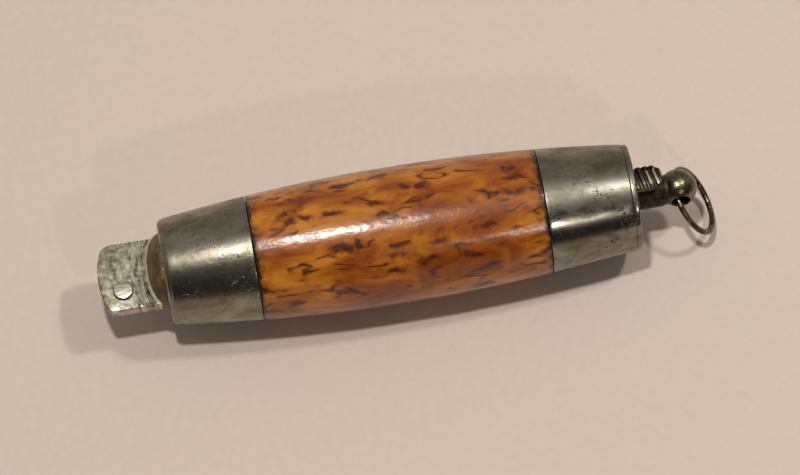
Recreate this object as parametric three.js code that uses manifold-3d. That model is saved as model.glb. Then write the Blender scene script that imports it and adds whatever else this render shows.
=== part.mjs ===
// A barrel knife, stowed: a folding blade in a flat frame that slides into a turned birch barrel.
// X runs along the knife towards the lanyard ring, Y across it and Z up. The origin is on the flat
// under the middle of the barrel, the one the knife lies on.
import * as THREE from "three";
import { mergeVertices } from "three/addons/utils/BufferGeometryUtils.js";
import Module from "manifold-3d";

// ---------------------------------------------------------------------------------------------
// Driving dimensions, in mm. Places along X are measured from the middle of the barrel, and
// heights and radii from the barrel's own axis.
// ---------------------------------------------------------------------------------------------
const BARREL_RADIUS = 13.4;
const BARREL_BULGE = 0.001437; // fall of the radius per mm squared away from the middle
const BARREL_BAND = 6; // half-length of the straight band in the middle, which the knife lies on
const BARREL_STEPS = 4; // profile steps along each ferrule or shoulder
const SIDES = 24; // sides of every turned piece, one of them facing straight down
const MOUTH_X = -46.3;
const FRONT_JOINT_X = -28.5;
const REAR_JOINT_X = 28.45;
const SEAM_X = 45.4;
const END_X = 46.6;
const BORE_RADIUS = 8.2;
const MOUTH_RADIUS = 8.0;
const MOUTH_LIP = 1.3;
const MOUTH_ROUND = 0.45; // chamfers of the turned edges that show
const RIM_ROUND = 0.35;
const FERRULE_WALL = 1.0;
const FIT_GAP = 0.15; // left between turned pieces that sit in or against each other
const TOUCH_GAP = 0.05; // left between flat pieces that are riveted together
const RUNNING_GAP = 0.1; // left around what turns

const TAB_END_X = -59.3;
const TAB_HALF_WIDTH = 7;
const TAB_HALF_THICKNESS = 1.45;
const TAB_END_RADIUS = 16;
const TAB_NORTH_CORNER = 1.7; // the corners of the tab's end: a wide one and a tight one
const TAB_SOUTH_CORNER = 0.5;
const DOME_RISE = 3.25; // the dome is half an ellipsoid that stands this far out of the mouth
const COLLAR_RADIUS = 7.75;
const COLLAR_END_X = -43;
const LUG_END_X = -38.4;
const LUG_HALF_WIDTH = 5.4;
const LUG_THICKNESS = 1.5;

const SLOT_HALF_HEIGHT = 0.7;
const SLOT_SOUTH_Y = -5.8;
const PLATE_THICKNESS = 1.0;
const PLATE_SOUTH_Y = -7.0;
const PLATE_NORTH_Y = 5.4;
const PLATE_END_X = 40;
const PLATE_CORNER = 2;
const SPACER_WIDTH = 1.6;
const TAIL_BLOCK_X = 30.2;

const RIVET_RADIUS = 0.7;
const PIN_RIVET_RADIUS = 0.45;
const RIVET_HEAD = 0.3;
const HEAD_RIVETS = [-3.4, 3.4].map((y) => [(COLLAR_END_X + LUG_END_X) / 2, y]);
const SPACER_SOUTH_Y = PLATE_SOUTH_Y + 0.1;
const SPACER_RIVETS = [-30, -6, 18].map((x) => [x, SPACER_SOUTH_Y + SPACER_WIDTH / 2]);
const TAIL_RIVETS = [-4.3, 4.3].map((y) => [37.4, y]);
const LEAF_RIVET = [31.4, 0];

const PIVOT = new THREE.Vector2(-54.75, -2.95);
const PIVOT_RADIUS = 1.85;
const PIVOT_PROUD = 0.45;
const BLADE_HALF_THICKNESS = 0.58;
const BLADE_SPINE_Y = 6.0;
const BLADE_EDGE_Y = -4.7;
const BLADE_TIP_X = 29.4;
const TANG_RADIUS = 2.7;
const BEVEL_TOP_Y = 0.8; // where the blade's flat gives way to its ground bevel
const EDGE_HALF_THICKNESS = 0.12;
const HEEL_X = PIVOT.x + 6; // where the tang has widened to the blade
const GRIND_X = HEEL_X + 6; // where the ground bevel starts

const CATCH_PIVOT = new THREE.Vector2(36, 4.8); // x and height
const CATCH_PIN_RADIUS = 0.8;
const CATCH_BOSS_RADIUS = 1.4;
const CATCH_HALF_WIDTH = 1.65;
const CATCH_ARM = { low: 5.5, high: 6.8, rise: 39.4 };
const THUMB = { start: 46.95, end: 52.2, low: 5.5, high: 7.3, halfWidth: 2.25, middle: 0.6 };
const THUMB_DROP = 1.6; // room under the thumb piece where it passes the end plate
const SERRATION = { count: 4, pitch: 1.35, depth: 0.42, first: 47.6, slant: 0.2 };
const EAR_THICKNESS = 0.8;
const EAR_RADIUS = 1.5;
const BRACKET = { start: 28.6, end: 39.8, halfWidth: 5.4, thickness: 0.7 };
const LEAF = { start: 29.4, halfWidth: 1.4, thickness: 0.4, bend: 37.2, tip: 41.6 };

const STUD_RADIUS = 3.15;
const SPIGOT_RADIUS = 2.0;
const STUD_HEAD_RADIUS = 2.6;
const STUD_HEAD_LENGTH = 1.1;
const WASHER = { radius: 3.4, thickness: 0.8 };
const STUD_Y = 0.35; // the stud sits a little off the plate's middle
const BALL_X = 55.4;
const BALL_RADIUS = 3.7;
const BALL_HOLE_RADIUS = 1.5;
const RING_RADIUS = 6.7; // to the middle of the wire
const RING_WIRE_RADIUS = 0.6;
const RING_OFFSET = 0.5; // the wire passes this far off the hole's axis, both ways
const RING_SLIP = 0.3; // the ring's middle lies this far towards the near side
const RING_TILT = THREE.MathUtils.degToRad(7); // of the ball's hole, its near end up
const RING_HANG = THREE.MathUtils.degToRad(57.5); // of the ring, down from straight out

const barrelRadius = (x) => {
  const outside = Math.max(Math.abs(x), BARREL_BAND);
  return BARREL_RADIUS - BARREL_BULGE * (outside ** 2 - BARREL_BAND ** 2);
};
const PLATE_LOW = SLOT_HALF_HEIGHT;
const PLATE_HIGH = PLATE_LOW + PLATE_THICKNESS;
const FILLER_HALF_HEIGHT = PLATE_LOW - TOUCH_GAP;
const BRACKET_HIGH = PLATE_HIGH + TOUCH_GAP + BRACKET.thickness;

// ---------------------------------------------------------------------------------------------
// Tools: solids to and from three.js geometry, turned and flat shapes
// ---------------------------------------------------------------------------------------------
const wasm = await Module();
wasm.setup();

function toSolid(geometry) {
  const bare = geometry.index ? geometry.toNonIndexed() : geometry.clone();
  bare.deleteAttribute("normal");
  bare.deleteAttribute("uv");
  const merged = mergeVertices(bare, 1e-4);
  return new wasm.Manifold(
    new wasm.Mesh({
      numProp: 3,
      vertProperties: new Float32Array(merged.attributes.position.array),
      triVerts: new Uint32Array(merged.index.array),
    }),
  );
}

function toGeometry(solid) {
  const mesh = solid.getMesh();
  const geometry = new THREE.BufferGeometry();
  geometry.setAttribute("position", new THREE.BufferAttribute(mesh.vertProperties, 3));
  geometry.setIndex(new THREE.BufferAttribute(mesh.triVerts, 1));
  return geometry;
}

function cut(geometry, ...tools) {
  let solid = toSolid(geometry);
  for (const tool of tools) solid = solid.subtract(toSolid(tool));
  return toGeometry(solid);
}

function join(geometry, ...others) {
  let solid = toSolid(geometry);
  for (const other of others) solid = solid.add(toSolid(other));
  return toGeometry(solid);
}

// A profile of [place along the axis, radius] pairs, turned about Y. The radii are those across
// the flats, and the profile runs with the axis on the outside and back on the inside.
function turned(profile, sides = SIDES) {
  const toCorner = 1 / Math.cos(Math.PI / sides);
  const points = profile.map(([along, radius]) => new THREE.Vector2(radius * toCorner, along));
  return new THREE.LatheGeometry(points, sides, Math.PI / sides);
}
const turnedAlongX = (profile, sides) => turned(profile, sides).rotateZ(-Math.PI / 2);
const turnedAlongY = (profile, sides) => turned(profile, sides);
const turnedAlongZ = (profile, sides) => turned(profile, sides).rotateX(Math.PI / 2);

// A solid round bar as a profile, from one end to the other.
const bar = (from, to, radius) => [
  [from, 0],
  [from, radius],
  [to, radius],
  [to, 0],
];

function box([x0, x1], [y0, y1], [z0, z1]) {
  return new THREE.BoxGeometry(x1 - x0, y1 - y0, z1 - z0).translate(
    (x0 + x1) / 2,
    (y0 + y1) / 2,
    (z0 + z1) / 2,
  );
}

// Tools that drill a hole up through the frame, or across it for the catch's pin.
const DRILL_REACH = 6;
function drill([x, y], radius, sides = 12) {
  return turnedAlongZ(bar(-DRILL_REACH, DRILL_REACH, radius), sides).translate(x, y, 0);
}
function catchPinDrill() {
  const hole = bar(-DRILL_REACH, DRILL_REACH, CATCH_PIN_RADIUS + TOUCH_GAP);
  return turnedAlongY(hole, 16).translate(CATCH_PIVOT.x, 0, CATCH_PIVOT.y);
}

// An outline in X and Y, raised from one height to another.
function flat(shape, from, to) {
  const settings = { depth: to - from, bevelEnabled: false, curveSegments: 6 };
  return new THREE.ExtrudeGeometry(shape, settings).translate(0, 0, from);
}

// An outline in X and Z, given a width across the knife.
function upright(shape, halfWidth) {
  const settings = { depth: 2 * halfWidth, bevelEnabled: false, curveSegments: 6 };
  return new THREE.ExtrudeGeometry(shape, settings)
    .rotateX(Math.PI / 2)
    .translate(0, halfWidth, 0);
}

const finish = (color, roughness, metalness) =>
  new THREE.MeshStandardMaterial({ color, roughness, metalness });
const FINISHES = {
  birch: finish(0xb06a24, 0.3, 0),
  ferruleSteel: finish(0x8d8f86, 0.35, 1),
  studSteel: finish(0x4d453c, 0.4, 1),
  ringSteel: finish(0x5a5850, 0.35, 1),
  brass: finish(0x9b9070, 0.4, 1),
  plateSteel: finish(0x83837c, 0.4, 1),
  bladeSteel: finish(0xa9aaa6, 0.25, 1),
  pinSteel: finish(0xc4c0b4, 0.4, 1),
  catchSteel: finish(0x77736a, 0.4, 1),
  springSteel: finish(0x565a60, 0.35, 1),
};

function piece(name, geometry, material) {
  const mesh = new THREE.Mesh(geometry, material);
  mesh.name = name;
  return mesh;
}

// ---------------------------------------------------------------------------------------------
// Barrel: birch body, two ferrules and the end plate
// ---------------------------------------------------------------------------------------------
// Points on the barrel's curve between two places, moved in by an inset.
function barrelCurve(from, to, inset, steps = BARREL_STEPS) {
  const places = Array.from({ length: steps + 1 }, (_, i) => from + ((to - from) * i) / steps);
  return places.map((x) => [x, barrelRadius(x) - inset]);
}

function woodBarrel() {
  const inset = FERRULE_WALL + FIT_GAP;
  const front = MOUTH_X + MOUTH_LIP + FIT_GAP;
  const back = SEAM_X - MOUTH_LIP;
  const profile = [
    [front, BORE_RADIUS],
    ...barrelCurve(front, FRONT_JOINT_X, inset),
    ...barrelCurve(FRONT_JOINT_X, -BARREL_BAND, 0),
    ...barrelCurve(BARREL_BAND, REAR_JOINT_X, 0),
    ...barrelCurve(REAR_JOINT_X, back, inset),
    [back, BORE_RADIUS],
    [front, BORE_RADIUS],
  ];
  return turnedAlongX(profile);
}

function frontFerrule() {
  const edge = FRONT_JOINT_X - FIT_GAP;
  const inside = barrelCurve(MOUTH_X + MOUTH_LIP, edge, FERRULE_WALL).reverse();
  const profile = [
    [MOUTH_X, MOUTH_RADIUS],
    [MOUTH_X, barrelRadius(MOUTH_X) - MOUTH_ROUND],
    ...barrelCurve(MOUTH_X + MOUTH_ROUND, edge, 0),
    ...inside,
    [MOUTH_X + MOUTH_LIP, MOUTH_RADIUS],
    [MOUTH_X, MOUTH_RADIUS],
  ];
  return turnedAlongX(profile);
}

function rearFerrule() {
  const edge = REAR_JOINT_X + FIT_GAP;
  const profile = [
    ...barrelCurve(edge, SEAM_X, 0),
    ...barrelCurve(edge, SEAM_X, FERRULE_WALL).reverse(),
    [edge, barrelRadius(edge)],
  ];
  return turnedAlongX(profile);
}

function rearEndPlate() {
  const face = SEAM_X + TOUCH_GAP;
  const rim = barrelRadius(END_X);
  const profile = [
    [face, 0],
    [face, rim],
    [END_X - RIM_ROUND, rim],
    [END_X, rim - RIM_ROUND],
    [END_X, 0],
  ];
  const studHole = turnedAlongX(bar(face - 1, END_X + 1, SPIGOT_RADIUS + RUNNING_GAP));
  const slotRoom = 0.3;
  const slotHalfWidth = THUMB.halfWidth + slotRoom;
  const slot = box(
    [face - 1, END_X + 1],
    [THUMB.middle - slotHalfWidth, THUMB.middle + slotHalfWidth],
    [THUMB.low - THUMB_DROP, THUMB.high + slotRoom],
  );
  return cut(turnedAlongX(profile), studHole.translate(0, STUD_Y, 0), slot);
}

// ---------------------------------------------------------------------------------------------
// Swivel end: stud with its drilled ball, its washer, and the ring
// ---------------------------------------------------------------------------------------------
function ballStud() {
  const washerStart = SEAM_X - WASHER.thickness - RUNNING_GAP;
  const headEnd = washerStart - TOUCH_GAP;
  const shoulder = END_X + RUNNING_GAP;
  const neckAngle = Math.PI - Math.asin(STUD_RADIUS / BALL_RADIUS);
  const ballSteps = 9;
  const ball = Array.from({ length: ballSteps + 1 }, (_, i) => {
    const angle = neckAngle * (1 - i / ballSteps);
    return [BALL_X + BALL_RADIUS * Math.cos(angle), BALL_RADIUS * Math.sin(angle)];
  });
  const stud = turnedAlongX([
    [headEnd - STUD_HEAD_LENGTH, 0],
    [headEnd - STUD_HEAD_LENGTH, STUD_HEAD_RADIUS - 0.5],
    [headEnd - STUD_HEAD_LENGTH / 2, STUD_HEAD_RADIUS],
    [headEnd, STUD_HEAD_RADIUS],
    [headEnd, SPIGOT_RADIUS],
    [shoulder, SPIGOT_RADIUS],
    [shoulder, STUD_RADIUS],
    ...ball.slice(0, -1),
    [BALL_X + BALL_RADIUS, 0],
  ]);
  const hole = turnedAlongY(bar(-2 * BALL_RADIUS, 2 * BALL_RADIUS, BALL_HOLE_RADIUS), 16)
    .rotateX(-RING_TILT)
    .translate(BALL_X, 0, 0);
  return cut(stud, hole);
}

function studWasher() {
  const end = SEAM_X - RUNNING_GAP;
  const start = end - WASHER.thickness;
  const hole = SPIGOT_RADIUS + TOUCH_GAP;
  return turnedAlongX([
    [start, hole],
    [start, WASHER.radius],
    [end, WASHER.radius],
    [end, hole],
    [start, hole],
  ]);
}

// The ring hangs from the ball's hole: its plane holds the hole's axis.
function lanyardRing() {
  const holeAxis = new THREE.Vector3(0, -Math.cos(RING_TILT), Math.sin(RING_TILT));
  const down = new THREE.Vector3(0, -Math.sin(RING_TILT), -Math.cos(RING_TILT));
  const out = new THREE.Vector3(Math.cos(RING_HANG), 0, 0).addScaledVector(down, Math.sin(RING_HANG));
  const normal = out.clone().cross(holeAxis);
  const centre = new THREE.Vector3(BALL_X, 0, 0)
    .addScaledVector(out, RING_RADIUS - RING_OFFSET)
    .addScaledVector(normal, RING_OFFSET)
    .addScaledVector(holeAxis, RING_SLIP);
  const ring = new THREE.TorusGeometry(RING_RADIUS, RING_WIRE_RADIUS, 10, 36);
  return ring
    .applyMatrix4(new THREE.Matrix4().makeBasis(out, holeAxis, normal))
    .translate(centre.x, centre.y, centre.z);
}

// ---------------------------------------------------------------------------------------------
// Frame: the domed head with its pull tab, two plates, spacer, tail block, rivets, blade
// ---------------------------------------------------------------------------------------------
// The tab's end is an arc about the knife's axis, between a wide and a tight corner.
function tabOutline() {
  const centre = TAB_END_X + TAB_END_RADIUS;
  const endAt = (y) => centre - Math.sqrt(TAB_END_RADIUS ** 2 - y ** 2);
  const northY = TAB_HALF_WIDTH - TAB_NORTH_CORNER;
  const southY = TAB_HALF_WIDTH - TAB_SOUTH_CORNER;
  const corner = endAt(TAB_HALF_WIDTH);
  const shape = new THREE.Shape();
  shape.moveTo(MOUTH_X, -TAB_HALF_WIDTH);
  shape.lineTo(MOUTH_X, TAB_HALF_WIDTH);
  shape.lineTo(corner + TAB_NORTH_CORNER, TAB_HALF_WIDTH);
  shape.quadraticCurveTo(corner, TAB_HALF_WIDTH, endAt(northY), northY);
  shape.absarc(
    centre,
    0,
    TAB_END_RADIUS,
    Math.PI - Math.asin(northY / TAB_END_RADIUS),
    Math.PI + Math.asin(southY / TAB_END_RADIUS),
    false,
  );
  shape.quadraticCurveTo(corner, -TAB_HALF_WIDTH, corner + TAB_SOUTH_CORNER, -TAB_HALF_WIDTH);
  shape.closePath();
  return shape;
}

function frameHead() {
  const domeSteps = 6;
  const dome = Array.from({ length: domeSteps }, (_, i) => {
    const angle = (Math.PI / 2) * ((i + 1) / domeSteps);
    return [MOUTH_X - DOME_RISE * Math.cos(angle), COLLAR_RADIUS * Math.sin(angle)];
  });
  const plug = turnedAlongX([
    [MOUTH_X - DOME_RISE, 0],
    ...dome,
    [COLLAR_END_X, COLLAR_RADIUS],
    [COLLAR_END_X, 0],
  ]);
  const tab = flat(tabOutline(), -TAB_HALF_THICKNESS, TAB_HALF_THICKNESS);
  const lugLow = PLATE_HIGH + TOUCH_GAP;
  const lugs = [1, -1].map((side) =>
    box(
      [COLLAR_END_X - 0.5, LUG_END_X],
      [-LUG_HALF_WIDTH, LUG_HALF_WIDTH],
      [lugLow, lugLow + LUG_THICKNESS].map((z) => z * side).sort((a, b) => a - b),
    ),
  );
  const slot = box(
    [TAB_END_X - 1, COLLAR_END_X + 1],
    [SLOT_SOUTH_Y, 10],
    [-SLOT_HALF_HEIGHT, SLOT_HALF_HEIGHT],
  );
  const pinHole = drill(PIVOT.toArray(), PIVOT_RADIUS + TOUCH_GAP, SIDES);
  const rivetHoles = HEAD_RIVETS.map((place) => drill(place, RIVET_RADIUS + TOUCH_GAP));
  return cut(join(plug, tab, ...lugs), slot, pinHole, ...rivetHoles);
}

// A rivet along Z with a low head at each end.
function rivet([x, y], radius, low, high) {
  const headRadius = radius * 1.6;
  const profile = [
    [low - RIVET_HEAD, 0],
    [low - RIVET_HEAD, headRadius * 0.7],
    [low, headRadius],
    [low, radius],
    [high, radius],
    [high, headRadius],
    [high + RIVET_HEAD, headRadius * 0.7],
    [high + RIVET_HEAD, 0],
  ];
  return turnedAlongZ(profile, 12).translate(x, y, 0);
}

// A rivet whose inner end is filed flush with the plate, so that it clears the blade.
function flushRivet([x, y], side) {
  const high = PLATE_HIGH + LUG_THICKNESS + 2 * TOUCH_GAP;
  const headRadius = RIVET_RADIUS * 1.6;
  const profile = [
    [PLATE_LOW, 0],
    [PLATE_LOW, RIVET_RADIUS],
    [high, RIVET_RADIUS],
    [high, headRadius],
    [high + RIVET_HEAD, headRadius * 0.7],
    [high + RIVET_HEAD, 0],
  ];
  const geometry = turnedAlongZ(profile, 12);
  if (side < 0) geometry.rotateX(Math.PI);
  return geometry.translate(x, y, 0);
}

function framePlate(side) {
  const start = COLLAR_END_X + TOUCH_GAP;
  const shape = new THREE.Shape();
  shape.moveTo(start, PLATE_SOUTH_Y);
  shape.lineTo(PLATE_END_X - PLATE_CORNER, PLATE_SOUTH_Y);
  shape.quadraticCurveTo(PLATE_END_X, PLATE_SOUTH_Y, PLATE_END_X, PLATE_SOUTH_Y + PLATE_CORNER);
  shape.lineTo(PLATE_END_X, PLATE_NORTH_Y - PLATE_CORNER);
  shape.quadraticCurveTo(PLATE_END_X, PLATE_NORTH_Y, PLATE_END_X - PLATE_CORNER, PLATE_NORTH_Y);
  shape.lineTo(start, PLATE_NORTH_Y);
  shape.closePath();
  const heights = [PLATE_LOW, PLATE_HIGH].map((z) => z * side).sort((a, b) => a - b);
  const wide = [...HEAD_RIVETS, ...TAIL_RIVETS, LEAF_RIVET];
  const holes = [
    ...wide.map((place) => drill(place, RIVET_RADIUS + TOUCH_GAP)),
    ...SPACER_RIVETS.map((place) => drill(place, PIN_RIVET_RADIUS + TOUCH_GAP)),
  ];
  return cut(flat(shape, ...heights), ...holes);
}

function backSpacer() {
  const strip = box(
    [COLLAR_END_X + TOUCH_GAP, TAIL_BLOCK_X - TOUCH_GAP],
    [SPACER_SOUTH_Y, SPACER_SOUTH_Y + SPACER_WIDTH],
    [-FILLER_HALF_HEIGHT, FILLER_HALF_HEIGHT],
  );
  const holes = SPACER_RIVETS.map((place) => drill(place, PIN_RIVET_RADIUS + TOUCH_GAP));
  return cut(strip, ...holes);
}

function tailBlock() {
  const block = box(
    [TAIL_BLOCK_X, PLATE_END_X - 0.6],
    [PLATE_SOUTH_Y + 0.6, PLATE_NORTH_Y - 0.4],
    [-FILLER_HALF_HEIGHT, FILLER_HALF_HEIGHT],
  );
  const holes = [...TAIL_RIVETS, LEAF_RIVET].map((place) => drill(place, RIVET_RADIUS + TOUCH_GAP));
  return cut(block, ...holes);
}

// The blade is folded back past its pivot, its edge towards the spacer and its spine on the open
// side. It swings on the pivot pin.
function bladeSolid() {
  const shape = new THREE.Shape();
  shape.moveTo(PIVOT.x, PIVOT.y - TANG_RADIUS);
  shape.absarc(PIVOT.x, PIVOT.y, TANG_RADIUS, -Math.PI / 2, Math.PI * 0.62, true);
  shape.quadraticCurveTo(PIVOT.x + 1, BLADE_SPINE_Y - 1, HEEL_X, BLADE_SPINE_Y);
  shape.lineTo(BLADE_TIP_X - 20, BLADE_SPINE_Y);
  shape.quadraticCurveTo(BLADE_TIP_X - 8, BLADE_SPINE_Y - 0.6, BLADE_TIP_X, BLADE_SPINE_Y - 4.2);
  shape.quadraticCurveTo(BLADE_TIP_X - 6, BLADE_EDGE_Y, BLADE_TIP_X - 16, BLADE_EDGE_Y);
  shape.lineTo(HEEL_X + 4, BLADE_EDGE_Y);
  shape.lineTo(HEEL_X + 2, PIVOT.y - TANG_RADIUS + 0.4);
  shape.closePath();
  const blank = flat(shape, -BLADE_HALF_THICKNESS, BLADE_HALF_THICKNESS);
  const bevels = [1, -1].map((side) => {
    const section = new THREE.Shape();
    section.moveTo(BEVEL_TOP_Y, side * BLADE_HALF_THICKNESS);
    section.lineTo(BLADE_EDGE_Y - 0.5, side * EDGE_HALF_THICKNESS);
    section.lineTo(BLADE_EDGE_Y - 0.5, side * 2);
    section.lineTo(BEVEL_TOP_Y, side * 2);
    section.closePath();
    const length = BLADE_TIP_X + 2 - GRIND_X;
    return new THREE.ExtrudeGeometry(section, { depth: length, bevelEnabled: false })
      .applyMatrix4(
        new THREE.Matrix4().makeBasis(
          new THREE.Vector3(0, 1, 0),
          new THREE.Vector3(0, 0, 1),
          new THREE.Vector3(1, 0, 0),
        ),
      )
      .translate(GRIND_X, 0, 0);
  });
  const pinHole = drill(PIVOT.toArray(), PIVOT_RADIUS + TOUCH_GAP, SIDES);
  return cut(blank, pinHole, ...bevels);
}

function bladePivotPin() {
  const low = 0.15 - TAB_HALF_THICKNESS;
  const high = TAB_HALF_THICKNESS + PIVOT_PROUD;
  return turnedAlongZ([
    [low, 0],
    [low, PIVOT_RADIUS],
    [high - 0.2, PIVOT_RADIUS],
    [high, PIVOT_RADIUS - 0.2],
    [high, 0],
  ]).translate(PIVOT.x, PIVOT.y, 0);
}

// ---------------------------------------------------------------------------------------------
// Catch: a bracket on the frame's tail, a lever with the serrated thumb piece, its pin and spring
// ---------------------------------------------------------------------------------------------
function catchBracket() {
  const low = PLATE_HIGH + TOUCH_GAP;
  const base = box(
    [BRACKET.start, BRACKET.end],
    [-BRACKET.halfWidth, PLATE_NORTH_Y - 0.2],
    [low, BRACKET_HIGH],
  );
  const earShape = new THREE.Shape();
  earShape.moveTo(CATCH_PIVOT.x - EAR_RADIUS - 1, low);
  earShape.lineTo(CATCH_PIVOT.x + EAR_RADIUS + 1, low);
  earShape.lineTo(CATCH_PIVOT.x + EAR_RADIUS, CATCH_PIVOT.y);
  earShape.absarc(CATCH_PIVOT.x, CATCH_PIVOT.y, EAR_RADIUS, 0, Math.PI, false);
  earShape.closePath();
  const earMiddle = CATCH_HALF_WIDTH + RUNNING_GAP + EAR_THICKNESS / 2;
  const ears = [-earMiddle, earMiddle].map((y) =>
    upright(earShape, EAR_THICKNESS / 2).translate(0, y, 0),
  );
  const rivetHoles = [...TAIL_RIVETS, LEAF_RIVET].map((place) =>
    drill(place, RIVET_RADIUS + TOUCH_GAP),
  );
  return cut(join(base, ...ears), catchPinDrill(), ...rivetHoles);
}

function catchPivotPin() {
  const half = CATCH_HALF_WIDTH + RUNNING_GAP + EAR_THICKNESS + TOUCH_GAP;
  const head = CATCH_PIN_RADIUS * 1.4;
  return turnedAlongY(
    [
      [-half - RIVET_HEAD, 0],
      [-half - RIVET_HEAD, head * 0.7],
      [-half, head],
      [-half, CATCH_PIN_RADIUS],
      [half, CATCH_PIN_RADIUS],
      [half, head],
      [half + RIVET_HEAD, head * 0.7],
      [half + RIVET_HEAD, 0],
    ],
    16,
  ).translate(CATCH_PIVOT.x, 0, CATCH_PIVOT.y);
}

// The leaf is riveted to the bracket, passes under the lever's boss and presses its arm up.
function catchSpring() {
  const low = BRACKET_HIGH + TOUCH_GAP;
  const tipLow = CATCH_ARM.low - TOUCH_GAP - LEAF.thickness;
  const shape = new THREE.Shape();
  shape.moveTo(LEAF.start, low);
  shape.lineTo(LEAF.bend, low);
  shape.quadraticCurveTo(LEAF.bend + 1.6, low, LEAF.tip - 1, tipLow);
  shape.lineTo(LEAF.tip, tipLow);
  shape.lineTo(LEAF.tip, tipLow + LEAF.thickness);
  shape.lineTo(LEAF.tip - 1.2, tipLow + LEAF.thickness);
  shape.quadraticCurveTo(LEAF.bend + 1.3, low + LEAF.thickness, LEAF.bend, low + LEAF.thickness);
  shape.lineTo(LEAF.start, low + LEAF.thickness);
  shape.closePath();
  return cut(upright(shape, LEAF.halfWidth), drill(LEAF_RIVET, RIVET_RADIUS + TOUCH_GAP));
}

function catchLever() {
  const arm = new THREE.Shape();
  arm.moveTo(CATCH_PIVOT.x, CATCH_PIVOT.y + CATCH_BOSS_RADIUS);
  arm.absarc(CATCH_PIVOT.x, CATCH_PIVOT.y, CATCH_BOSS_RADIUS, Math.PI / 2, -Math.PI / 4, false);
  arm.lineTo(CATCH_ARM.rise, CATCH_ARM.low);
  arm.lineTo(THUMB.start + 1, CATCH_ARM.low);
  arm.lineTo(THUMB.start + 1, CATCH_ARM.high);
  arm.lineTo(CATCH_ARM.rise - 0.6, CATCH_ARM.high);
  arm.closePath();
  const thumbShape = new THREE.Shape();
  const centre = THUMB.end - THUMB.halfWidth;
  thumbShape.moveTo(THUMB.start, -THUMB.halfWidth);
  thumbShape.lineTo(centre, -THUMB.halfWidth);
  thumbShape.absarc(centre, 0, THUMB.halfWidth, -Math.PI / 2, Math.PI / 2, false);
  thumbShape.lineTo(THUMB.start, THUMB.halfWidth);
  thumbShape.closePath();
  const thumb = flat(thumbShape, THUMB.low, THUMB.high).translate(0, THUMB.middle, 0);
  // Each serration is a square bar turned on its edge, laid at a slant across the thumb piece.
  const barSize = SERRATION.depth * Math.SQRT2;
  const serrations = Array.from({ length: SERRATION.count }, (_, i) =>
    new THREE.BoxGeometry(barSize, 12, barSize)
      .rotateY(Math.PI / 4)
      .rotateZ(SERRATION.slant)
      .translate(SERRATION.first + i * SERRATION.pitch, 0, THUMB.high),
  );
  return cut(join(upright(arm, CATCH_HALF_WIDTH), thumb), catchPinDrill(), ...serrations);
}

// ---------------------------------------------------------------------------------------------
// Assembly
// ---------------------------------------------------------------------------------------------
function barrel() {
  return new THREE.Group().add(
    piece("wood_barrel", woodBarrel(), FINISHES.birch),
    piece("front_ferrule", frontFerrule(), FINISHES.ferruleSteel),
    piece("rear_ferrule", rearFerrule(), FINISHES.ferruleSteel),
    piece("rear_end_plate", rearEndPlate(), FINISHES.ferruleSteel),
  );
}

function swivelEnd() {
  const group = new THREE.Group().add(
    piece("ball_stud", ballStud(), FINISHES.studSteel),
    piece("stud_washer", studWasher(), FINISHES.studSteel),
    piece("lanyard_ring", lanyardRing(), FINISHES.ringSteel),
  );
  group.position.y = STUD_Y;
  return group;
}

function frame() {
  const group = new THREE.Group().add(
    piece("frame_head", frameHead(), FINISHES.brass),
    piece("frame_upper_plate", framePlate(1), FINISHES.plateSteel),
    piece("frame_lower_plate", framePlate(-1), FINISHES.plateSteel),
    piece("back_spacer", backSpacer(), FINISHES.plateSteel),
    piece("tail_block", tailBlock(), FINISHES.plateSteel),
    piece("blade", bladeSolid(), FINISHES.bladeSteel),
    piece("blade_pivot_pin", bladePivotPin(), FINISHES.pinSteel),
  );
  HEAD_RIVETS.forEach((place, i) => {
    group.add(piece(`head_rivet_upper_${i + 1}`, flushRivet(place, 1), FINISHES.pinSteel));
    group.add(piece(`head_rivet_lower_${i + 1}`, flushRivet(place, -1), FINISHES.pinSteel));
  });
  const outside = PLATE_HIGH + TOUCH_GAP;
  SPACER_RIVETS.forEach((place, i) => {
    const geometry = rivet(place, PIN_RIVET_RADIUS, -outside, outside);
    group.add(piece(`spacer_rivet_${i + 1}`, geometry, FINISHES.pinSteel));
  });
  TAIL_RIVETS.forEach((place, i) => {
    const geometry = rivet(place, RIVET_RADIUS, -outside, BRACKET_HIGH + TOUCH_GAP);
    group.add(piece(`tail_rivet_${i + 1}`, geometry, FINISHES.pinSteel));
  });
  const leafHigh = BRACKET_HIGH + LEAF.thickness + 2 * TOUCH_GAP;
  const leafRivet = rivet(LEAF_RIVET, RIVET_RADIUS, -outside, leafHigh);
  return group.add(
    piece("catch_bracket", catchBracket(), FINISHES.plateSteel),
    piece("catch_pivot_pin", catchPivotPin(), FINISHES.pinSteel),
    piece("catch_spring", catchSpring(), FINISHES.springSteel),
    piece("catch_spring_rivet", leafRivet, FINISHES.pinSteel),
    piece("catch_lever", catchLever(), FINISHES.catchSteel),
  );
}

const knife = new THREE.Group().add(barrel(), swivelEnd(), frame());
knife.position.z = BARREL_RADIUS;

export default knife;
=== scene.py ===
# The looks of a barrel knife: a turned birch barrel between two steel ferrules, a domed frame head
# with a pull tab at one end, and a thumb catch, ball stud and lanyard ring at the other.
import math

import bmesh
import bpy
from mathutils import Matrix, Vector


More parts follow.
